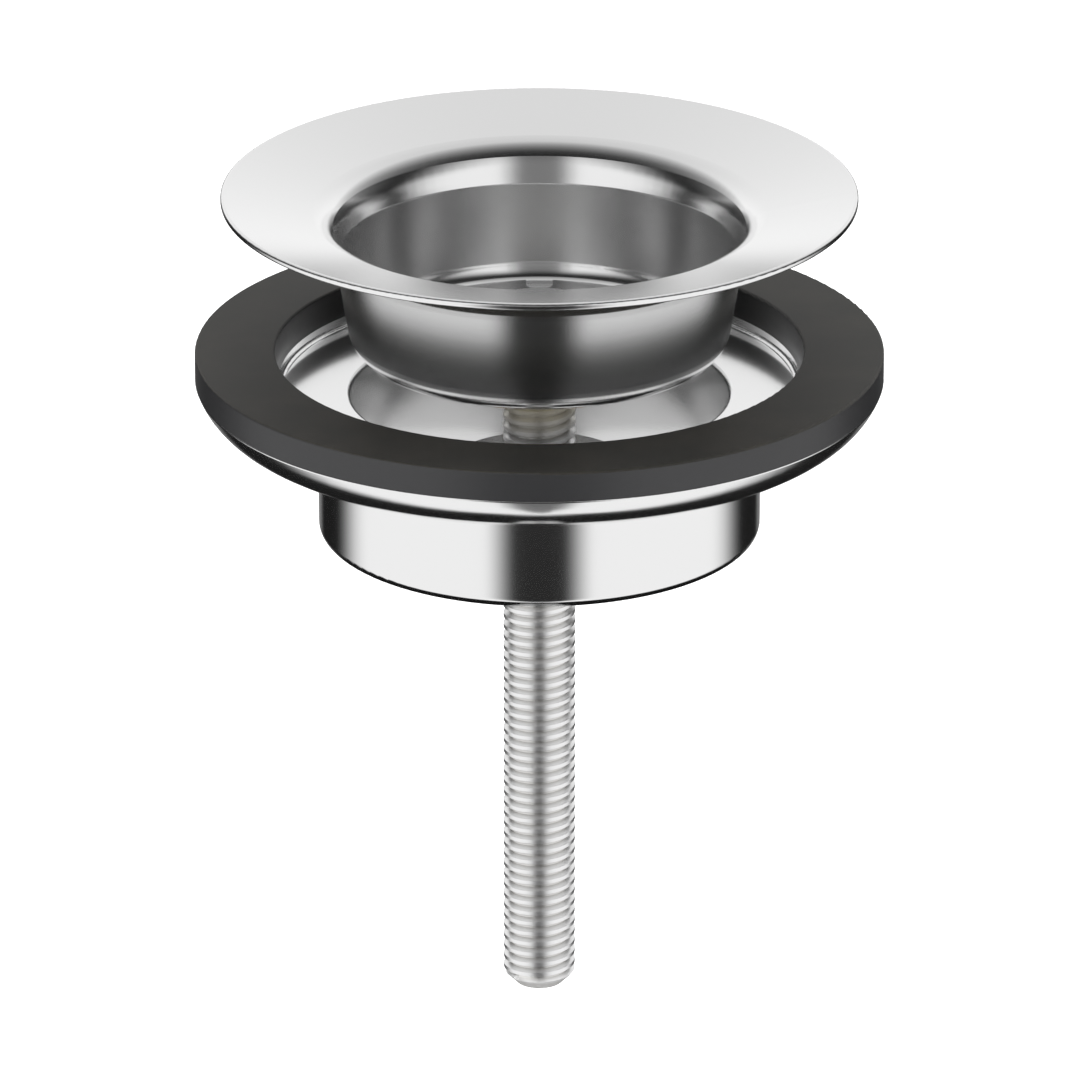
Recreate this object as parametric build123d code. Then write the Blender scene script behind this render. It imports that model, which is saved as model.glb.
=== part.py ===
from build123d import *
import os
from math import acos, cos, degrees, radians, sin, tan

# Grated basin waste. A pressed strainer hangs in the basin's outlet by its flange, and a long centre
# screw draws a cast lower body and its gasket up against the underside of the basin.
# Millimetres and degrees, +Z up on the waste's axis, Z 0 at the underside of the flange's rim.

# Strainer, pressed from a disc of stainless sheet. Bend radii are those of its upper face.
sheet_t = 0.8
flange_r = 35.0
flange_fall = 12.4  # slope of the flange towards the outlet
lip_slope = 62.0  # slope where the tight lip bend passes into the wide throat bend
cup_draft = 9.3  # lean of the cup's wall from upright
cup_foot_r = 20.3  # where the wall meets the bend at its foot
cup_depth = 16.8  # from the rim's underside down to the gutter
lip_bend = 3.3
throat_bend = 9.0
foot_bend = 2.4
rim_round = 0.3

# Grate, raised from the floor of the cup
grate_r = 13.0
grate_rise = 3.0
riser_slope = 70.0
riser_foot_bend = 1.2
riser_top_bend = 2.0
slot_count = 8
slot_w = 3.0
slot_past_dimple = 0.8
slot_past_grate = 3.2
dimple_margin = 0.3  # of the dimple's edge round the screw's head
dimple_slope = 45.0
dimple_bend = 1.2

# Centre screw, raised countersunk head with a straight slot
screw_r = 4.0
screw_length = 80.0  # from the edge of the head to the tip
screw_tip_chamfer = 1.4
screw_clearance = 0.5  # in the strainer's hole
head_r = 7.9
head_land = 0.3
head_dome = 2.0
head_seat_gap = 0.25
driver_slot_w = 2.0
driver_slot_depth = 2.4

# Rubber gasket
gasket_r = 38.0
gasket_width = 8.85
gasket_t = 3.3
gasket_round = 0.25
gasket_below_rim = 17.4  # its upper face, when drawn up as in the photograph

# Lower body, one casting: dish, collar, spokes and hub
dish_depth = 5.1  # from the gasket's seat to the flat underside
dish_side_bend = 7.7
dish_edge_round = 0.2
recess_inset = 0.45  # of the recess's wall inside the gasket's hole
recess_depth = 1.2
recess_bend = 0.5
floor_fall = 0.45  # from the recess to the outlet
outlet_r = 20.9
outlet_round = 0.5
collar_wall = 3.55
collar_length = 12.9
collar_round = 1.2
collar_root_bend = 0.6
spoke_count = 4
spoke_w = 4.5
spoke_h = 5.6
spoke_round = 0.8
hub_wall = 2.9  # round the bush's shoulder
hub_h = 6.6
hub_round = 0.8
hub_lift = 1.0  # of the hub above the collar's mouth

# Brass bush, pressed into the hub from below
bush_running_gap = 0.05
bush_wall = 1.95
bush_shoulder_w = 1.6
bush_shoulder_t = 1.2
bush_lead_in = 0.4

# Radii that follow
dimple_r = head_r + dimple_margin
slot_inner_r = dimple_r + slot_past_dimple
slot_outer_r = grate_r + slot_past_grate
screw_hole_r = screw_r + screw_clearance
gasket_hole_r = gasket_r - gasket_width
dish_r = gasket_r
recess_r = gasket_hole_r - recess_inset
collar_r = outlet_r + collar_wall
bush_r = screw_r + bush_running_gap + bush_wall
bush_shoulder_r = bush_r + bush_shoulder_w
hub_r = bush_shoulder_r + hub_wall

# Slope and levels that follow
wall_slope = 90 - cup_draft
rim_top_z = sheet_t / cos(radians(flange_fall))
gutter_z = -cup_depth
grate_z = gutter_z + grate_rise
seat_z = -gasket_below_rim - gasket_t
recess_z = seat_z - recess_depth
dish_bottom_z = seat_z - dish_depth
collar_bottom_z = dish_bottom_z - collar_length
hub_bottom_z = collar_bottom_z + hub_lift
hub_top_z = hub_bottom_z + hub_h


def bend_run(bend, slope_from, slope_to):
    """Inward and downward travel of a bend that turns the sheet from one slope to a steeper one."""
    a, b = radians(slope_from), radians(slope_to)
    return bend * (sin(b) - sin(a)), bend * (cos(a) - cos(b))


def straight_runs():
    """Lengths of the flange's cone and of the cup's wall that close the strainer's section."""
    lip_in, lip_down = bend_run(lip_bend, flange_fall, lip_slope)
    throat_in, throat_down = bend_run(throat_bend, lip_slope, wall_slope)
    foot_down = foot_bend * (1 - cos(radians(wall_slope)))
    inward = flange_r - cup_foot_r - lip_in - throat_in
    down = rim_top_z - gutter_z - foot_down - lip_down - throat_down
    a, c = radians(flange_fall), radians(wall_slope)
    cone = (inward * sin(c) - down * cos(c)) / sin(c - a)
    wall = (down * cos(a) - inward * sin(a)) / sin(c - a)
    return cone, wall


def rings(piece, radius, z=None):
    """The round edges of a radius on the waste's axis, at every level or at one."""
    circles = [e for e in piece.edges().filter_by(GeomType.CIRCLE) if abs(e.radius - radius) < 0.01]
    return [e for e in circles if z is None or abs(e.center().Z - z) < 0.01]


def make_strainer():
    cone, wall = straight_runs()
    overhang = 2 * sheet_t  # cut off again, so that the rim's edge is upright
    start = (flange_r + overhang * cos(radians(flange_fall)), rim_top_z + overhang * sin(radians(flange_fall)))
    riser_foot_r = grate_r + grate_rise / tan(radians(riser_slope))
    dimple_drop = (dimple_r - screw_r) * tan(radians(dimple_slope))
    with BuildPart() as strainer:
        with BuildSketch(Plane.XZ):
            with BuildLine():
                flange = PolarLine(start, cone + overhang, 180 + flange_fall)
                lip = JernArc(flange @ 1, flange % 1, lip_bend, lip_slope - flange_fall)
                throat = JernArc(lip @ 1, lip % 1, throat_bend, wall_slope - lip_slope)
                side = PolarLine(throat @ 1, wall, 180 + wall_slope)
                foot = JernArc(side @ 1, side % 1, foot_bend, -wall_slope)
                FilletPolyline(
                    foot @ 1,
                    (riser_foot_r, gutter_z),
                    (grate_r, grate_z),
                    (dimple_r, grate_z),
                    (screw_r, grate_z - dimple_drop),
                    radius=[riser_foot_bend, riser_top_bend, dimple_bend],
                )
                offset(amount=sheet_t, side=Side.LEFT)
            make_face()
            with Locations((0, rim_top_z)):
                Rectangle(flange_r, 3 * cup_depth, align=(Align.MIN, Align.CENTER), mode=Mode.INTERSECT)
        revolve(axis=Axis.Z)
        Cylinder(screw_hole_r, 3 * cup_depth, mode=Mode.SUBTRACT)
        with BuildSketch(Plane.XY.offset(gutter_z - sheet_t)):
            with PolarLocations((slot_inner_r + slot_outer_r) / 2, slot_count):
                SlotOverall(slot_outer_r - slot_inner_r, slot_w)
        extrude(amount=grate_rise + 2 * sheet_t, mode=Mode.SUBTRACT)
        fillet(rings(strainer, flange_r), rim_round)
    return strainer.part


def make_centre_screw():
    # The head's cone lies inside the dimple's cone, the seat gap away from it.
    cone_rise = head_seat_gap / cos(radians(dimple_slope))
    head_fall = tan(radians(dimple_slope))
    land_z = grate_z - (dimple_r - head_r) * head_fall + cone_rise
    rim_z = land_z + head_land
    neck_z = land_z - (head_r - screw_r) * head_fall
    tip_z = rim_z - screw_length
    with BuildPart() as screw:
        with BuildSketch(Plane.XZ):
            with BuildLine():
                Polyline(
                    (0, rim_z + head_dome),
                    (0, tip_z),
                    (screw_r - screw_tip_chamfer, tip_z),
                    (screw_r, tip_z + screw_tip_chamfer),
                    (screw_r, neck_z),
                    (head_r, land_z),
                    (head_r, rim_z),
                )
                dome_r = (head_r**2 + head_dome**2) / (2 * head_dome)
                RadiusArc((head_r, rim_z), (0, rim_z + head_dome), -dome_r)
            make_face()
        revolve(axis=Axis.Z)
        with Locations((0, 0, rim_z + head_dome)):
            Box(
                3 * head_r,
                driver_slot_w,
                2 * driver_slot_depth,
                mode=Mode.SUBTRACT,
            )
    return screw.part


def make_gasket():
    with BuildPart() as gasket:
        with Locations((0, 0, seat_z)):
            Cylinder(gasket_r, gasket_t, align=(Align.CENTER, Align.CENTER, Align.MIN))
            Cylinder(gasket_hole_r, gasket_t, align=(Align.CENTER, Align.CENTER, Align.MIN), mode=Mode.SUBTRACT)
        fillet(gasket.edges().group_by(Axis.Z)[-1], gasket_round)
    return gasket.part


def make_lower_body():
    # The dish's side is an arc that leaves the flat underside level and ends at the seat's outer edge.
    side_turn = degrees(acos(1 - dish_depth / dish_side_bend))
    underside_r = dish_r - dish_side_bend * sin(radians(side_turn))
    with BuildPart() as body:
        with BuildSketch(Plane.XZ):
            with BuildLine():
                underside = Line((collar_r, dish_bottom_z), (underside_r, dish_bottom_z))
                side = JernArc(underside @ 1, underside % 1, dish_side_bend, side_turn)
                Polyline(
                    side @ 1,
                    (recess_r, seat_z),
                    (recess_r, recess_z),
                    (outlet_r, recess_z - floor_fall),
                    (outlet_r, collar_bottom_z),
                    (collar_r, collar_bottom_z),
                    underside @ 0,
                )
            make_face()
        revolve(axis=Axis.Z)
        roundings = [
            (recess_r, recess_z, recess_bend),
            (outlet_r, recess_z - floor_fall, outlet_round),
            (collar_r, collar_bottom_z, collar_round),
            (collar_r, dish_bottom_z, collar_root_bend),
            (dish_r, seat_z, dish_edge_round),
        ]
        for radius, z, rounding in roundings:
            fillet(rings(body, radius, z), rounding)

        with Locations((0, 0, hub_bottom_z)):
            with PolarLocations(0, spoke_count):
                Box(
                    (outlet_r + collar_r) / 2,
                    spoke_w,
                    spoke_h,
                    align=(Align.MIN, Align.CENTER, Align.MIN),
                )
        spoke_top_z = hub_bottom_z + spoke_h
        level_edges = [e for e in body.edges().filter_by(GeomType.LINE) if abs(e.center().Z - spoke_top_z) < 0.01]
        spoke_tops = [e for e in level_edges if e.length > hub_r / 2]
        fillet(spoke_tops, spoke_round)
        with Locations((0, 0, hub_bottom_z)):
            Cylinder(hub_r, hub_h, align=(Align.CENTER, Align.CENTER, Align.MIN))
        fillet(rings(body, hub_r, hub_top_z), hub_round)
        with Locations((0, 0, hub_bottom_z)):
            Cylinder(bush_r, hub_h, align=(Align.CENTER, Align.CENTER, Align.MIN), mode=Mode.SUBTRACT)
            Cylinder(
                bush_shoulder_r,
                bush_shoulder_t,
                align=(Align.CENTER, Align.CENTER, Align.MIN),
                mode=Mode.SUBTRACT,
            )
    return body.part


def make_threaded_bush():
    bore_r = screw_r + bush_running_gap
    with BuildPart() as bush:
        with Locations((0, 0, hub_bottom_z)):
            Cylinder(bush_r, hub_h, align=(Align.CENTER, Align.CENTER, Align.MIN))
            Cylinder(bush_shoulder_r, bush_shoulder_t, align=(Align.CENTER, Align.CENTER, Align.MIN))
            Cylinder(bore_r, hub_h, align=(Align.CENTER, Align.CENTER, Align.MIN), mode=Mode.SUBTRACT)
        chamfer(rings(bush, bore_r), bush_lead_in)
    return bush.part


parts = {
    "strainer": make_strainer(),
    "centre_screw": make_centre_screw(),
    "rubber_gasket": make_gasket(),
    "lower_body": make_lower_body(),
    "threaded_bush": make_threaded_bush(),
}

os.makedirs("parts", exist_ok=True)
for name, solid in parts.items():
    solid.label = name
    export_step(solid, f"parts/{name}.step")
    print(name, round(solid.volume), "mm3")
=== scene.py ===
import bpy, bmesh
from math import cos, pi, radians, sin
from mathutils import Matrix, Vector


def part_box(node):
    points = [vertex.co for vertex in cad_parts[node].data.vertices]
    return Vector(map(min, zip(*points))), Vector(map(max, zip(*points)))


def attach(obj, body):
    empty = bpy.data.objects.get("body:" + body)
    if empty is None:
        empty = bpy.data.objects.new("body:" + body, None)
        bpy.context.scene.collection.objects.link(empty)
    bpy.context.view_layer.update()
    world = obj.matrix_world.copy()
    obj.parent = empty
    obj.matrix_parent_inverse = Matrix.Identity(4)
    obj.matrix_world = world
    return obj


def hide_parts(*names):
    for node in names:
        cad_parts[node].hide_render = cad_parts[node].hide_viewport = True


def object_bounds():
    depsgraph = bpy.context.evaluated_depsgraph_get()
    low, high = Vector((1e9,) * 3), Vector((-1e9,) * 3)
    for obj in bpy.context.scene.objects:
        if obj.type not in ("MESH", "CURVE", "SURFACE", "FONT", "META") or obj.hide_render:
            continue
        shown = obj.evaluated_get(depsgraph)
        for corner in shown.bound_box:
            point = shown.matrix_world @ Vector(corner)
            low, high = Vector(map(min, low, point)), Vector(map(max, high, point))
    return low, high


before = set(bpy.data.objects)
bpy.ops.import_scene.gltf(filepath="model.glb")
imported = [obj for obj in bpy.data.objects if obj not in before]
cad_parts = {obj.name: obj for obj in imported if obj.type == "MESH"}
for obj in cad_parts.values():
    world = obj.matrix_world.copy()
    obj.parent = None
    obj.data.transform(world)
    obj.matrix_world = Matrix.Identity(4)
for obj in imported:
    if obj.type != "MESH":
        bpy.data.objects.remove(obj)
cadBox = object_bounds()
mm = 0.001


def srgb(hexColor):  # sRGB hex to the linear colour that the sockets take
    channels = [int(hexColor[i:i + 2], 16) / 255 for i in (1, 3, 5)]
    linear = [c / 12.92 if c <= 0.04045 else ((c + 0.055) / 1.055) ** 2.4 for c in channels]
    return (*linear, 1.0)


def addNode(tree, kind, inputs=(), **settings):  # inputs by name or in order: values, sockets or nodes
    node = tree.nodes.new(kind)
    for name, value in settings.items():
        setattr(node, name, value)
    for key, value in inputs.items() if isinstance(inputs, dict) else enumerate(inputs):
        source = value.outputs[0] if isinstance(value, bpy.types.Node) else value
        if isinstance(source, bpy.types.NodeSocket):
            tree.links.new(source, node.inputs[key])
        else:
            node.inputs[key].default_value = source
    return node


def newMaterial(name):
    material = bpy.data.materials.new(name)
    material.use_nodes = True
    material.node_tree.nodes.clear()
    return material, material.node_tree


def measureFromAxis(tree):  # finishes run in rings round the waste's axis, which is Z
    place = addNode(tree, "ShaderNodeTexCoord")
    split = addNode(tree, "ShaderNodeSeparateXYZ", [place.outputs["Object"]])
    flat = addNode(tree, "ShaderNodeCombineXYZ", {"X": split.outputs["X"], "Y": split.outputs["Y"]})
    radius = addNode(tree, "ShaderNodeVectorMath", [flat], operation="LENGTH")
    return place, flat, radius.outputs["Value"], split.outputs["Z"]


def leanNormal(tree, place, lean):  # tips the surface's normal up or down, and hands it out in world space
    upward = addNode(tree, "ShaderNodeCombineXYZ", {"Z": lean})
    bent = addNode(tree, "ShaderNodeVectorMath", [place.outputs["Normal"], upward], operation="ADD")
    return addNode(tree, "ShaderNodeVectorTransform", [bent],
                   vector_type="NORMAL", convert_from="OBJECT", convert_to="WORLD")


# pressed stainless: the eye gets a soft mirror on flange and bends, and upright streaks of light on the
# cup's wall, which keeps the fine rings of the spinning tool. The wall, inside and out, has painted shade
# in a darker grey, and the foot outside darker still. The wall is shaded as slightly barrelled, the
# gutter's outer bend as a narrow cone, and the lip's bend as one that ends a little short of upright.
stainlessFinish = {
    "color": "#efefef",
    "roughness": 0.15,
    # painted shade: the cup's wall is a darker grey than the flange and bends
    "wallShadeColor": "#d8d8d8",
    "wallRoughness": 0.26,
    "wallStretch": 0.85,  # how far the tool's rings draw the light out
    "stretchTurn": 0.25,  # of a full turn, which lays the streaks upright
    "wall": (-14.8 * mm, -6.0 * mm),
    "wallEdge": 0.15 * mm,
    "outsideDown": 0.8 * mm,  # the wall's finish runs this much further down and up outside
    "outsideUp": 0.7 * mm,
    "grateRadius": 17.5 * mm,
    "drawnColor": "#8e8e8e",  # painted shade, darker towards the foot outside
    "drawn": (-15.5 * mm, -8.5 * mm),
    "insideLean": (0.125, -0.125),  # of the barrelled wall, at its foot and at its top
    "outsideLean": (-0.06, 0.15),
    "footCone": (-16.2 * mm, -14.9 * mm),
    "coneLean": -0.3,
    "lip": (-5.9 * mm, -4.4 * mm),
    "lipLean": 0.14,
    "ringSpacing": 0.45 * mm,
    "ringDepth": 0.0008 * mm,
}


def polishedStainless():
    s = stainlessFinish
    material, tree = newMaterial("polishedStainless")
    place, flat, radius, height = measureFromAxis(tree)
    low, high = s["wall"]
    edge = s["wallEdge"]
    grate = s["grateRadius"]

    normal = place.outputs["Normal"]
    outward = addNode(tree, "ShaderNodeVectorMath", [normal, flat], operation="DOT_PRODUCT")
    side = addNode(tree, "ShaderNodeMath", [outward.outputs["Value"]], operation="SIGN")
    outside = addNode(tree, "ShaderNodeMath", [side, 0], operation="MAXIMUM")
    inside = addNode(tree, "ShaderNodeMath", [outside, side], operation="SUBTRACT")
    pastGrate = addNode(tree, "ShaderNodeMapRange", [radius, grate - edge, grate + edge])
    lowered = addNode(tree, "ShaderNodeMath", [outside, s["outsideDown"], height], operation="MULTIPLY_ADD")
    raised = addNode(tree, "ShaderNodeMath", [outside, -s["outsideUp"], height], operation="MULTIPLY_ADD")
    aboveFoot = addNode(tree, "ShaderNodeMapRange", [lowered, low - edge, low + edge])
    underLip = addNode(tree, "ShaderNodeMapRange", [raised, high - edge, high + edge, 1, 0])
    belowTop = addNode(tree, "ShaderNodeMath", [underLip, pastGrate], operation="MULTIPLY")
    wall = addNode(tree, "ShaderNodeMath", [aboveFoot, belowTop], operation="MULTIPLY")

    # painted shade: the wall's colour darkens towards its foot outside
    drawn = addNode(tree, "ShaderNodeMapRange", [height, *s["drawn"], 1, 0])
    for share in (outside, wall):
        drawn = addNode(tree, "ShaderNodeMath", [drawn, share], operation="MULTIPLY")
    # painted shade: the wall's colour is darker than the rest
    wallShaded = addNode(tree, "ShaderNodeMix", {0: wall, 6: srgb(s["color"]), 7: srgb(s["wallShadeColor"])},
                     data_type="RGBA")
    color = addNode(tree, "ShaderNodeMix", {0: drawn, 6: wallShaded.outputs[2], 7: srgb(s["drawnColor"])},
                    data_type="RGBA")

    foot, footTop = s["footCone"]
    lip, lipTop = s["lip"]
    leans = [  # between two heights, how much at each, where it comes in from below, and what limits it
        ((low, high), s["insideLean"], (foot, low), (inside, belowTop)),
        ((low, high), s["outsideLean"], (foot, low), (outside, belowTop)),
        ((foot, footTop), (s["coneLean"], 0), (foot - edge / 2, foot), (inside, pastGrate)),
        ((lip, lipTop), (s["lipLean"], 0), (lip - edge, lip), (inside, pastGrate)),
    ]
    lean = 0
    for heights, amounts, comesIn, limits in leans:
        part = addNode(tree, "ShaderNodeMapRange", [height, *heights, *amounts])
        start = addNode(tree, "ShaderNodeMapRange", [height, *comesIn])
        for share in (start, *limits):
            part = addNode(tree, "ShaderNodeMath", [part, share], operation="MULTIPLY")
        lean = addNode(tree, "ShaderNodeMath", [lean, part], operation="ADD")

    ringPlace = addNode(tree, "ShaderNodeCombineXYZ", {"X": radius, "Y": height})
    rings = addNode(tree, "ShaderNodeTexNoise", {
        "Vector": ringPlace, "Scale": 1 / s["ringSpacing"], "Detail": 2})
    bump = addNode(tree, "ShaderNodeBump", {
        "Height": rings, "Distance": s["ringDepth"], "Strength": 1,
        "Normal": leanNormal(tree, place, lean)})
    roughness = addNode(tree, "ShaderNodeMapRange", {
        "Value": wall, "To Min": s["roughness"], "To Max": s["wallRoughness"]})
    stretch = addNode(tree, "ShaderNodeMapRange", {"Value": wall, "To Max": s["wallStretch"]})
    around = addNode(tree, "ShaderNodeTangent", direction_type="RADIAL", axis="Z")
    shader = addNode(tree, "ShaderNodeBsdfPrincipled", {
        "Base Color": color.outputs[2], "Metallic": 1, "Roughness": roughness, "Normal": bump,
        "Tangent": around, "Anisotropic": stretch, "Anisotropic Rotation": s["stretchTurn"]})
    addNode(tree, "ShaderNodeOutputMaterial", {"Surface": shader})
    return material


# chromium plate on a turned and buffed casting: the eye gets a hard mirror with short, faint marks round
# the axis, and a rougher bore that the buff doesn't reach, with painted shade in a darker grey. The mouth's
# edge is shaded as buffed rounder than it was cast.
chromeFinish = {
    "color": "#efefef",
    "roughness": 0.13,
    "boreShadeColor": "#dadada",
    "boreRoughness": 0.2,
    "boreRadius": 21.2 * mm,
    "mouthEdge": (-38.4 * mm, -37.6 * mm),
    "mouthLean": -1.25,
    "markLength": 2.5 * mm,
    "markWidth": 0.12 * mm,
    "markDepth": 0.004 * mm,
    "markStrength": 0.5,
}


def polishedChrome():
    s = chromeFinish
    material, tree = newMaterial("polishedChrome")
    place, _, radius, height = measureFromAxis(tree)
    bore = addNode(tree, "ShaderNodeMath", [radius, s["boreRadius"]], operation="LESS_THAN")
    # painted shade: the bore is a darker grey than the outside
    color = addNode(tree, "ShaderNodeMix", {0: bore, 6: srgb(s["color"]), 7: srgb(s["boreShadeColor"])},
                    data_type="RGBA")
    roughness = addNode(tree, "ShaderNodeMapRange", {
        "Value": bore, "To Min": s["roughness"], "To Max": s["boreRoughness"]})
    outer = addNode(tree, "ShaderNodeMath", [1, bore], operation="SUBTRACT")
    rounder = addNode(tree, "ShaderNodeMapRange", [height, *s["mouthEdge"], s["mouthLean"], 0])
    lean = addNode(tree, "ShaderNodeMath", [rounder, outer], operation="MULTIPLY")
    squeeze = addNode(tree, "ShaderNodeMapping", {
        "Vector": place.outputs["Object"],
        "Scale": (1 / s["markLength"], 1 / s["markLength"], 1 / s["markWidth"])})
    marks = addNode(tree, "ShaderNodeTexNoise", {"Vector": squeeze, "Scale": 1, "Detail": 2})
    bump = addNode(tree, "ShaderNodeBump", {
        "Height": marks, "Distance": s["markDepth"], "Strength": s["markStrength"],
        "Normal": leanNormal(tree, place, lean)})
    shader = addNode(tree, "ShaderNodeBsdfPrincipled", {
        "Base Color": color.outputs[2], "Metallic": 1, "Roughness": roughness, "Normal": bump})
    addNode(tree, "ShaderNodeOutputMaterial", {"Surface": shader})
    return material


# rolled thread on bright zinc: the eye gets white glints on the crests, painted shade in the roots, painted
# warm reflection and shade on the upper turns, which are also dull and rougher, and painted light on the
# turned end, which is dull and milky
screwFinish = {
    "crest": "#f5f5f5",
    # painted shade in the thread's roots, darker than the crests
    "rootShade": "#e2e1df",
    "crestFrom": 0.6,  # of the thread's depth
    "roughness": 0.35,
    # painted warm reflection and shade on the upper turns, under the head
    "warmShade": "#c6bfab",
    "warmShadeRoughness": 0.3,
    "warmShadeDullness": 0.3,
    "warmShadeStarts": (-27 * mm, -23 * mm),
    "warmShadeEnds": (-18.3 * mm, -17.7 * mm),
    # painted reflection: the turned end is made less metallic, so it shows milky white like the floor below
    "tipPaintedLight": 0.22,
    "tipLightZone": (-92.2 * mm, -91.7 * mm),
    "grain": 0.5 * mm,
    "grainDepth": 0.004 * mm,
    "grainStrength": 0.15,
}


def brightScrewZinc(rootRadius, crestRadius):
    s = screwFinish
    material, tree = newMaterial("brightScrewZinc")
    place, _, radius, height = measureFromAxis(tree)
    brightFrom = rootRadius + (crestRadius - rootRadius) * s["crestFrom"]
    depth = addNode(tree, "ShaderNodeMapRange", [radius, rootRadius, brightFrom])
    # painted warm reflection and shade: a beige, duller band on the upper turns
    warmShadeStarts = addNode(tree, "ShaderNodeMapRange", [height, *s["warmShadeStarts"]])
    warmShadeEnds = addNode(tree, "ShaderNodeMapRange", [height, *s["warmShadeEnds"], 1, 0])
    warmShade = addNode(tree, "ShaderNodeMath", [warmShadeStarts, warmShadeEnds], operation="MULTIPLY")
    aboveThread = addNode(tree, "ShaderNodeMath", [1, warmShadeEnds], operation="SUBTRACT")
    raised = addNode(tree, "ShaderNodeMath", [depth, aboveThread], operation="MAXIMUM")
    # painted shade: the roots are darker than the crests and the head
    bare = addNode(tree, "ShaderNodeMix", {0: raised, 6: srgb(s["rootShade"]), 7: srgb(s["crest"])},
                   data_type="RGBA")
    color = addNode(tree, "ShaderNodeMix", {0: warmShade, 6: bare.outputs[2], 7: srgb(s["warmShade"])},
                    data_type="RGBA")
    roughness = addNode(tree, "ShaderNodeMapRange", {
        "Value": warmShade, "To Min": s["roughness"], "To Max": s["warmShadeRoughness"]})
    warmShadeDullness = addNode(tree, "ShaderNodeMath", [warmShade, s["warmShadeDullness"]], operation="MULTIPLY")
    # painted reflection on the turned end, by lowering its metallic share
    tipPaintedLight = addNode(tree, "ShaderNodeMapRange", [height, *s["tipLightZone"], s["tipPaintedLight"], 0])
    dullness = addNode(tree, "ShaderNodeMath", [warmShadeDullness, tipPaintedLight], operation="MAXIMUM")
    metallic = addNode(tree, "ShaderNodeMath", [1, dullness], operation="SUBTRACT")
    grain = addNode(tree, "ShaderNodeTexNoise", {
        "Vector": place.outputs["Object"], "Scale": 1 / s["grain"], "Detail": 4})
    bump = addNode(tree, "ShaderNodeBump", {
        "Height": grain, "Distance": s["grainDepth"], "Strength": s["grainStrength"]})
    shader = addNode(tree, "ShaderNodeBsdfPrincipled", {
        "Base Color": color.outputs[2], "Metallic": metallic, "Roughness": roughness, "Normal": bump})
    addNode(tree, "ShaderNodeOutputMaterial", {"Surface": shader})
    return material


# moulded black rubber: the eye gets a matt, slightly dusty grey-black with a fine grain, smoother at the
# sides
rubberFinish = {
    "color": "#1f1e1b",
    "roughness": 0.6,
    "dust": "#272521",
    "dustSpread": 7 * mm,
    "dustShare": (0.4, 0.75),  # noise below the first is bare, and above the second all dust
    "sideColor": "#1a1a1b",
    "sideRoughness": 0.36,
    "sideTurns": (0.2, 0.8),  # upward part of the normal, from side to face
    "grain": 0.25 * mm,
    "grainDepth": 0.01 * mm,
    "grainStrength": 0.35,
}


def mouldedRubber():
    s = rubberFinish
    material, tree = newMaterial("mouldedRubber")
    place = addNode(tree, "ShaderNodeTexCoord")
    cloud = addNode(tree, "ShaderNodeTexNoise", {
        "Vector": place.outputs["Object"], "Scale": 1 / s["dustSpread"], "Detail": 4})
    dust = addNode(tree, "ShaderNodeMapRange", [cloud, *s["dustShare"]])
    worn = addNode(tree, "ShaderNodeMix", {0: dust, 6: srgb(s["color"]), 7: srgb(s["dust"])},
                   data_type="RGBA")
    split = addNode(tree, "ShaderNodeSeparateXYZ", [place.outputs["Normal"]])
    level = addNode(tree, "ShaderNodeMath", [split.outputs["Z"]], operation="ABSOLUTE")
    face = addNode(tree, "ShaderNodeMapRange", [level, *s["sideTurns"]])
    color = addNode(tree, "ShaderNodeMix", {0: face, 6: srgb(s["sideColor"]), 7: worn.outputs[2]},
                    data_type="RGBA")
    roughness = addNode(tree, "ShaderNodeMapRange", {
        "Value": face, "To Min": s["sideRoughness"], "To Max": s["roughness"]})
    grain = addNode(tree, "ShaderNodeTexNoise", {
        "Vector": place.outputs["Object"], "Scale": 1 / s["grain"], "Detail": 5})
    bump = addNode(tree, "ShaderNodeBump", {
        "Height": grain, "Distance": s["grainDepth"], "Strength": s["grainStrength"]})
    shader = addNode(tree, "ShaderNodeBsdfPrincipled", {
        "Base Color": color.outputs[2], "Roughness": roughness, "Normal": bump})
    addNode(tree, "ShaderNodeOutputMaterial", {"Surface": shader})
    return material


# turned brass: the eye gets a warm yellow with fine rings from the tool
brassFinish = {
    "color": "#c9a55a",
    "roughness": 0.24,
    "tarnish": "#8f6f35",
    "tarnishSpread": 3 * mm,
    "toolMarks": 0.2 * mm,
    "markDepth": 0.01 * mm,
    "markStrength": 0.4,
}


def turnedBrass():
    s = brassFinish
    material, tree = newMaterial("turnedBrass")
    place, _, radius, height = measureFromAxis(tree)
    cloud = addNode(tree, "ShaderNodeTexNoise", {
        "Vector": place.outputs["Object"], "Scale": 1 / s["tarnishSpread"], "Detail": 4})
    color = addNode(tree, "ShaderNodeMix", {0: cloud, 6: srgb(s["tarnish"]), 7: srgb(s["color"])},
                    data_type="RGBA")
    ringPlace = addNode(tree, "ShaderNodeCombineXYZ", {"X": radius, "Y": height})
    rings = addNode(tree, "ShaderNodeTexNoise", {
        "Vector": ringPlace, "Scale": 1 / s["toolMarks"], "Detail": 2})
    bump = addNode(tree, "ShaderNodeBump", {
        "Height": rings, "Distance": s["markDepth"], "Strength": s["markStrength"]})
    shader = addNode(tree, "ShaderNodeBsdfPrincipled", {
        "Base Color": color.outputs[2], "Metallic": 1, "Roughness": s["roughness"], "Normal": bump})
    addNode(tree, "ShaderNodeOutputMaterial", {"Surface": shader})
    return material


def dress(node, material):  # a CAD node keeps its mesh and gets a better material
    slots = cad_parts[node].data.materials
    slots.clear()
    slots.append(material)


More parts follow.
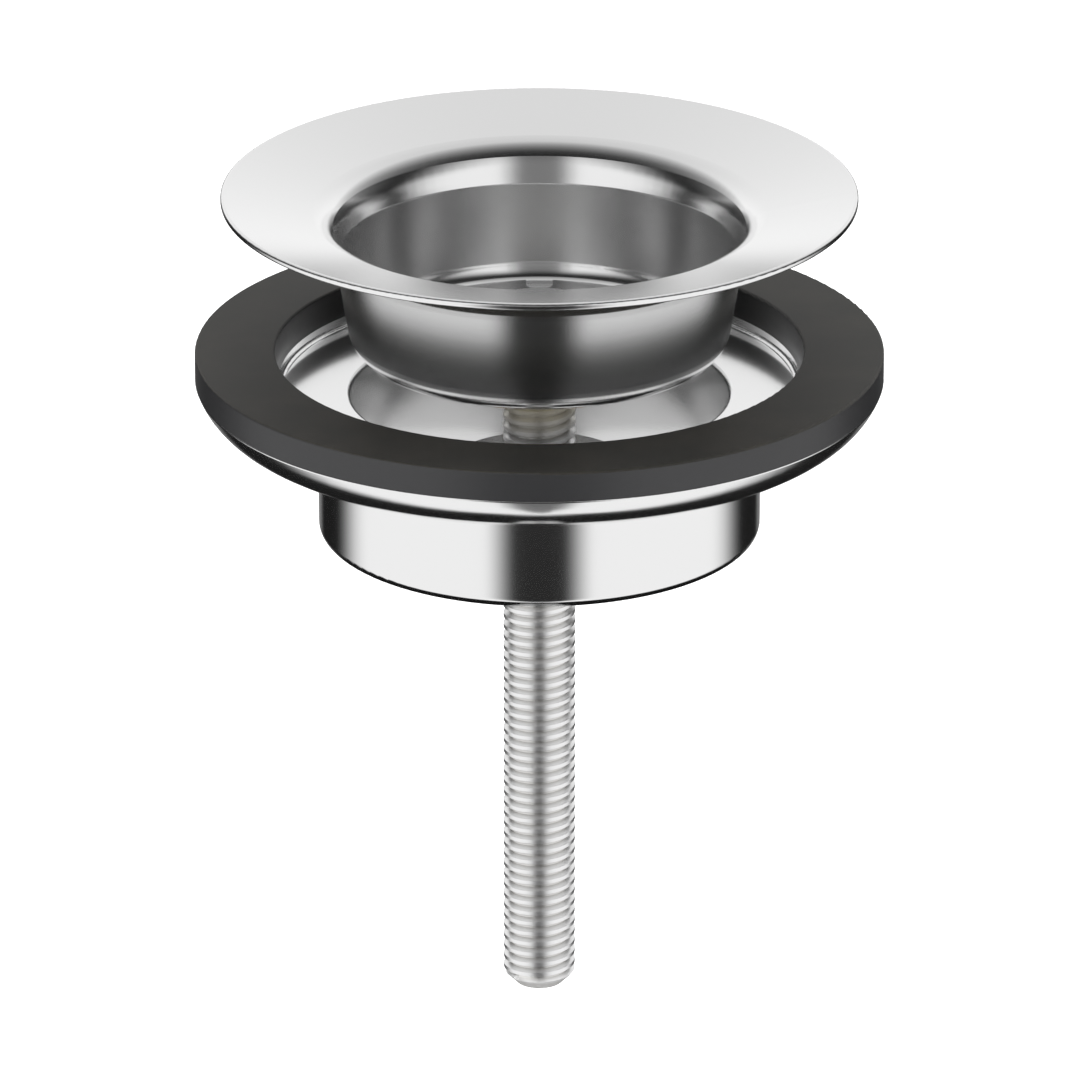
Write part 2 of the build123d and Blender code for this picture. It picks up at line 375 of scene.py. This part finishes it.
# centre screw: the CAD head on a real M8 thread
screwThread = {
    "pitch": 1.25 * mm,
    "majorRadius": 4.0 * mm,
    "rootRadius": 3.42 * mm,
    "crestShare": 0.34,  # of the pitch
    "rootShare": 0.16,
    "stepsPerTurn": 60,
    "tipChamfer": 1.4 * mm,
    "headInside": 0.6 * mm,  # how far the thread runs up inside the head
    "headAboveNeck": 0.05 * mm,  # the copied head ends this far up, inside the thread
    "headMerge": 0.002 * mm,
    "threadMerge": 0.004 * mm,
    "cutTolerance": 0.0001 * mm,
    "spareTurns": 1.5,  # at each end, which the cuts at tip and head take off
    "rimWidth": 0.02 * mm,  # points this near the head's widest radius are its rim
    "sharpFrom": 28,  # degrees between two faces
}


def cutAt(mesh, z, away):  # away is 1 to take off what is above z, and -1 to take off what is below it
    everything = mesh.verts[:] + mesh.edges[:] + mesh.faces[:]
    bmesh.ops.bisect_plane(mesh, geom=everything, dist=screwThread["cutTolerance"], plane_co=(0, 0, z),
                           plane_no=(0, 0, away), clear_outer=True)


def closeEnds(mesh):
    bmesh.ops.holes_fill(mesh, edges=[e for e in mesh.edges if e.is_boundary], sides=0)


def headCopy(source, bottomZ):
    mesh = bmesh.new()
    mesh.from_mesh(source.data)
    bmesh.ops.remove_doubles(mesh, verts=mesh.verts, dist=screwThread["headMerge"])
    cutAt(mesh, bottomZ, -1)
    closeEnds(mesh)
    return mesh


def threadedShank(topZ, tipZ):
    s = screwThread
    flank = (1 - s["crestShare"] - s["rootShare"]) / 2
    outline = [  # one pitch: root, flank, crest, flank
        (s["rootRadius"], 0),
        (s["rootRadius"], s["rootShare"]),
        (s["majorRadius"], s["rootShare"] + flank),
        (s["majorRadius"], s["rootShare"] + flank + s["crestShare"]),
        (s["rootRadius"], 1),
    ]
    startZ = tipZ - s["spareTurns"] * s["pitch"]
    turns = (topZ - tipZ) / s["pitch"] + 2 * s["spareTurns"]
    mesh = bmesh.new()
    verts = [mesh.verts.new((r, 0, startZ + share * s["pitch"])) for r, share in outline]
    edges = [mesh.edges.new(pair) for pair in zip(verts, verts[1:])]
    bmesh.ops.spin(mesh, geom=verts + edges, cent=(0, 0, 0), axis=(0, 0, 1),
                   dvec=(0, 0, s["pitch"] / s["stepsPerTurn"]), angle=2 * pi, steps=s["stepsPerTurn"],
                   use_merge=False)
    made = 1
    while made < turns:  # each copy of the whole stack sits on top of it
        copy = bmesh.ops.duplicate(mesh, geom=mesh.verts[:] + mesh.edges[:] + mesh.faces[:])
        added = [v for v in copy["geom"] if isinstance(v, bmesh.types.BMVert)]
        bmesh.ops.translate(mesh, verts=added, vec=(0, 0, made * s["pitch"]))
        made *= 2
    bmesh.ops.remove_doubles(mesh, verts=mesh.verts, dist=s["threadMerge"])
    cutAt(mesh, topZ, 1)
    cutAt(mesh, tipZ, -1)
    for vert in mesh.verts:  # the turned chamfer leaves a plain cone at the tip
        cone = s["majorRadius"] - s["tipChamfer"] + (vert.co.z - tipZ)
        reach = vert.co.xy.length
        if cone < s["majorRadius"]:
            vert.co.x *= cone / reach
            vert.co.y *= cone / reach
    closeEnds(mesh)
    bmesh.ops.recalc_face_normals(mesh, faces=mesh.faces)
    return mesh


def makeScrew():
    s = screwThread
    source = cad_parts["centre_screw"]
    low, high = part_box("centre_screw")
    headRadius = high[1]
    points = [source.matrix_world @ v.co for v in source.data.vertices]
    rimZ = max(p.z for p in points if p.xy.length > headRadius - s["rimWidth"])
    neckZ = rimZ - (headRadius - s["majorRadius"])  # the head is a 90 degree countersink
    head = headCopy(source, neckZ + s["headAboveNeck"])
    shank = threadedShank(neckZ + s["headInside"], low[2])
    joined = bpy.data.meshes.new("threaded_screw")
    shank.to_mesh(joined)
    head.from_mesh(joined)
    head.to_mesh(joined)
    shank.free()
    head.free()
    piece = bpy.data.objects.new("threaded_screw", joined)
    bpy.context.collection.objects.link(piece)
    joined.materials.append(brightScrewZinc(s["rootRadius"], s["majorRadius"]))
    return piece


def smoothByAngle(piece, angle):
    for polygon in piece.data.polygons:
        polygon.use_smooth = True
    mesh = bmesh.new()
    mesh.from_mesh(piece.data)
    for edge in mesh.edges:
        if len(edge.link_faces) == 2:
            edge.smooth = edge.calc_face_angle(0) < angle
    mesh.to_mesh(piece.data)
    mesh.free()


print("materials")
dress("strainer", polishedStainless())
dress("lower_body", polishedChrome())
dress("rubber_gasket", mouldedRubber())
dress("threaded_bush", turnedBrass())

print("centre screw")
screw = makeScrew()
smoothByAngle(screw, radians(screwThread["sharpFrom"]))
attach(screw, "screw")
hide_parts("centre_screw")


# studio: a white floor, soft lamps, and a world that the metal mirrors as a white tent with a slit for the
# camera
def direction(azimuth, elevation):  # degrees; azimuth 0 is towards the camera, positive to its right
    a, e = radians(azimuth), radians(elevation)
    return Vector((sin(a) * cos(e), -cos(a) * cos(e), sin(e)))


def addFacing(name, data, aim, azimuth, elevation, distance):  # a camera or lamp that looks at the aim
    piece = bpy.data.objects.new(name, data)
    bpy.context.collection.objects.link(piece)
    piece.location = Vector(aim) + direction(azimuth, elevation) * distance
    piece.rotation_euler = (Vector(aim) - piece.location).to_track_quat("-Z", "Y").to_euler()
    return piece


cameraView = {
    "elevation": 21.65,
    "distance": 1250 * mm,
    "aim": (0.067 * mm, 0, -40.2 * mm),
    "lens": 375.4,
    "sensorWidth": 36,
    "seesTo": 20,
}


def addCamera():
    s = cameraView
    lens = bpy.data.cameras.new("photoCamera")
    lens.lens = s["lens"]
    lens.sensor_width = s["sensorWidth"]
    lens.clip_end = s["seesTo"]
    bpy.context.scene.camera = addFacing("photoCamera", lens, s["aim"], 0, s["elevation"], s["distance"])


floorCloth = {"color": "#f2f2f2", "belowTip": 120 * mm, "size": 8.0, "glow": 0.45}


def addFloor():
    s = floorCloth
    mesh = bmesh.new()
    bmesh.ops.create_grid(mesh, x_segments=1, y_segments=1, size=s["size"] / 2)
    bmesh.ops.translate(mesh, verts=mesh.verts, vec=(0, 0, cadBox[0][2] - s["belowTip"]))
    data = bpy.data.meshes.new("floor")
    mesh.to_mesh(data)
    mesh.free()
    piece = bpy.data.objects.new("floor", data)
    bpy.context.collection.objects.link(piece)
    piece.visible_glossy = False
    material, tree = newMaterial("whiteFloor")
    cloth = addNode(tree, "ShaderNodeBsdfDiffuse", {"Color": srgb(s["color"])})
    rays = addNode(tree, "ShaderNodeLightPath")
    seen = rays.outputs["Is Camera Ray"]
    strength = addNode(tree, "ShaderNodeMath", [seen, s["glow"]], operation="MULTIPLY")
    glow = addNode(tree, "ShaderNodeEmission", {"Color": (1, 1, 1, 1), "Strength": strength})
    both = addNode(tree, "ShaderNodeAddShader", [cloth, glow])
    side = addNode(tree, "ShaderNodeNewGeometry")
    clear = addNode(tree, "ShaderNodeBsdfTransparent")  # so that the waste is also seen from below
    sheet = addNode(tree, "ShaderNodeMixShader", [side.outputs["Backfacing"], both, clear])
    addNode(tree, "ShaderNodeOutputMaterial", {"Surface": sheet})
    data.materials.append(material)


lampAim = (0, 0, -30 * mm)
lamps = {  # azimuth and elevation in degrees, distance, width and height in metres, watts
    "leftLamp": (-50, 8, 1.1, 0.9, 0.9, 28),
    "rightLamp": (50, 8, 1.1, 0.9, 0.9, 28),
    "topLamp": (180, 72, 1.1, 1.1, 0.8, 10),
}


def addLamps():
    for name, (azimuth, elevation, distance, width, height, watts) in lamps.items():
        lamp = bpy.data.lights.new(name, "AREA")
        lamp.shape = "RECTANGLE"
        lamp.size = width
        lamp.size_y = height
        lamp.energy = watts
        box = addFacing(name, lamp, lampAim, azimuth, elevation, distance)
        box.visible_glossy = False  # the metal mirrors the tent instead


# what the metal mirrors. Pairs are degrees from where to where a part fades in or out. The tent's back
# sweep and its walls meet in a tilted seam, and what counts for them is a direction's height over it.
tent = {
    "ambient": 0.3,  # what the world gives to surfaces that don't mirror
    "dark": 0.012,
    "seam": {"tilt": 0.655, "height": 0.185},
    "sweep": {"level": 1.09, "lossWithHeight": 0.44, "width": 1.03, "widthGain": 0.66, "leastWidth": 0.1,
              "power": 1.7, "horizon": (-1, 8), "atHorizon": 0.15},
    "walls": {"level": 0.97, "fades": (-0.34, 0.02)},  # heights over the seam
    "slit": {"halfWidth": (8, 26), "lightInside": 0.2, "risesOver": (-2, 14), "widerBelow": 4,
             "bottom": (-76, -50), "atBottom": 0.86},
    "wings": {"starts": (100, 134), "bottom": (-90, -80), "top": (-6, 12)},  # dark, low behind the object
    "backFloor": {"level": 0.2, "starts": (154, 166), "bottom": (-34, -26), "top": (-10, -2)},
}


def mirroredLevel(tree):  # brightness of the tent in the direction that a mirrored ray takes
    parts = ("seam", "sweep", "slit", "wings", "backFloor")
    seam, sweep, slit, wings, back = (tent[part] for part in parts)
    place = addNode(tree, "ShaderNodeTexCoord")
    split = addNode(tree, "ShaderNodeSeparateXYZ", [place.outputs["Generated"]])
    across, away, height = split.outputs
    sideways = addNode(tree, "ShaderNodeMath", [across], operation="ABSOLUTE")
    nearer = addNode(tree, "ShaderNodeMath", [away, -1], operation="MULTIPLY")
    azimuth = addNode(tree, "ShaderNodeMath", [sideways, nearer], operation="ARCTAN2")
    elevation = addNode(tree, "ShaderNodeMath", [height], operation="ARCSINE")
    tilted = addNode(tree, "ShaderNodeMath", [away, seam["tilt"], height], operation="MULTIPLY_ADD")
    overSeam = addNode(tree, "ShaderNodeMath", [tilted, seam["height"]], operation="SUBTRACT")

    slope = addNode(tree, "ShaderNodeMath", [away, -sweep["widthGain"], sweep["width"]],
                    operation="MULTIPLY_ADD")
    width = addNode(tree, "ShaderNodeMath", [slope, sweep["leastWidth"]], operation="MAXIMUM")
    share = addNode(tree, "ShaderNodeMath", [overSeam, width], operation="DIVIDE", use_clamp=True)
    curve = addNode(tree, "ShaderNodeMath", [share, sweep["power"]], operation="POWER")
    strength = addNode(tree, "ShaderNodeMath", [height, -sweep["lossWithHeight"], sweep["level"]],
                       operation="MULTIPLY_ADD")

    fades = [  # name, what it is measured along, from where to where, and level before and after
        ("horizon", elevation, sweep["horizon"], sweep["atHorizon"], 1),
        ("slitInside", elevation, slit["risesOver"], tent["dark"], slit["lightInside"]),
        ("slitWider", elevation, slit["risesOver"], radians(slit["widerBelow"]), 0),
        ("slitBottom", elevation, slit["bottom"], slit["atBottom"], 1),
        ("wingStarts", azimuth, wings["starts"], 0, 1),
        ("wingBottom", elevation, wings["bottom"], 0, 1),
        ("wingTop", elevation, wings["top"], 1, 0),
        ("backStarts", azimuth, back["starts"], 0, 1),
        ("backBottom", elevation, back["bottom"], 0, 1),
        ("backTop", elevation, back["top"], 1, 0),
    ]
    soft = {}
    for name, source, ends, before, after in fades:
        soft[name] = addNode(tree, "ShaderNodeMapRange", [source, *map(radians, ends), before, after],
                             interpolation_type="SMOOTHSTEP")
    narrowed = addNode(tree, "ShaderNodeMath", [azimuth, soft["slitWider"]], operation="SUBTRACT")
    sides = [radians(angle) for angle in slit["halfWidth"]]
    soft["slitSides"] = addNode(tree, "ShaderNodeMapRange", [narrowed, *sides, 1, 0],
                                interpolation_type="SMOOTHSTEP")
    white = tent["walls"]
    soft["walls"] = addNode(tree, "ShaderNodeMapRange", [overSeam, *white["fades"], white["level"], 0],
                            interpolation_type="SMOOTHSTEP")

    products = {
        "sweep": (curve, strength, soft["horizon"]),
        "slit": (soft["slitSides"], soft["slitBottom"]),
        "wings": (soft["wingStarts"], soft["wingBottom"], soft["wingTop"]),
        "backFloor": (soft["backStarts"], soft["backBottom"], soft["backTop"], back["level"]),
    }
    level = {}
    for name, (product, *factors) in products.items():
        for factor in factors:
            product = addNode(tree, "ShaderNodeMath", [product, factor], operation="MULTIPLY")
        level[name] = product
    openShare = addNode(tree, "ShaderNodeMath", [1, level["slit"]], operation="SUBTRACT")
    camera = addNode(tree, "ShaderNodeMath", [level["slit"], soft["slitInside"], openShare],
                     operation="MULTIPLY_ADD")
    noWing = addNode(tree, "ShaderNodeMath", [1, level["wings"]], operation="SUBTRACT")
    walls = addNode(tree, "ShaderNodeMath", [soft["walls"], camera], operation="MULTIPLY")
    total = addNode(tree, "ShaderNodeMath", [walls, noWing, level["sweep"]], operation="MULTIPLY_ADD")
    for more in (level["backFloor"], tent["dark"]):
        total = addNode(tree, "ShaderNodeMath", [total, more], operation="ADD")
    return total


def lightWorld():
    world = bpy.data.worlds.new("tent")
    bpy.context.scene.world = world
    world.use_nodes = True
    world.cycles.sampling_method = "NONE"
    tree = world.node_tree
    tree.nodes.clear()
    rays = addNode(tree, "ShaderNodeLightPath")
    white = addNode(tree, "ShaderNodeBackground", {"Color": (1, 1, 1, 1), "Strength": 1})
    room = addNode(tree, "ShaderNodeBackground", {"Color": (1, 1, 1, 1), "Strength": tent["ambient"]})
    mirrored = addNode(tree, "ShaderNodeBackground", {
        "Color": (1, 1, 1, 1), "Strength": mirroredLevel(tree)})
    unseen = addNode(tree, "ShaderNodeMixShader", [rays.outputs["Is Glossy Ray"], room, mirrored])
    both = addNode(tree, "ShaderNodeMixShader", [rays.outputs["Is Camera Ray"], unseen, white])
    addNode(tree, "ShaderNodeOutputWorld", {"Surface": both})


print("studio")
addCamera()
addFloor()
addLamps()
lightWorld()
bpy.context.scene.view_settings.view_transform = "Standard"
bpy.context.scene.cycles.max_bounces = 16
bpy.context.scene.cycles.glossy_bounces = 12  # light finds its way out of the cup
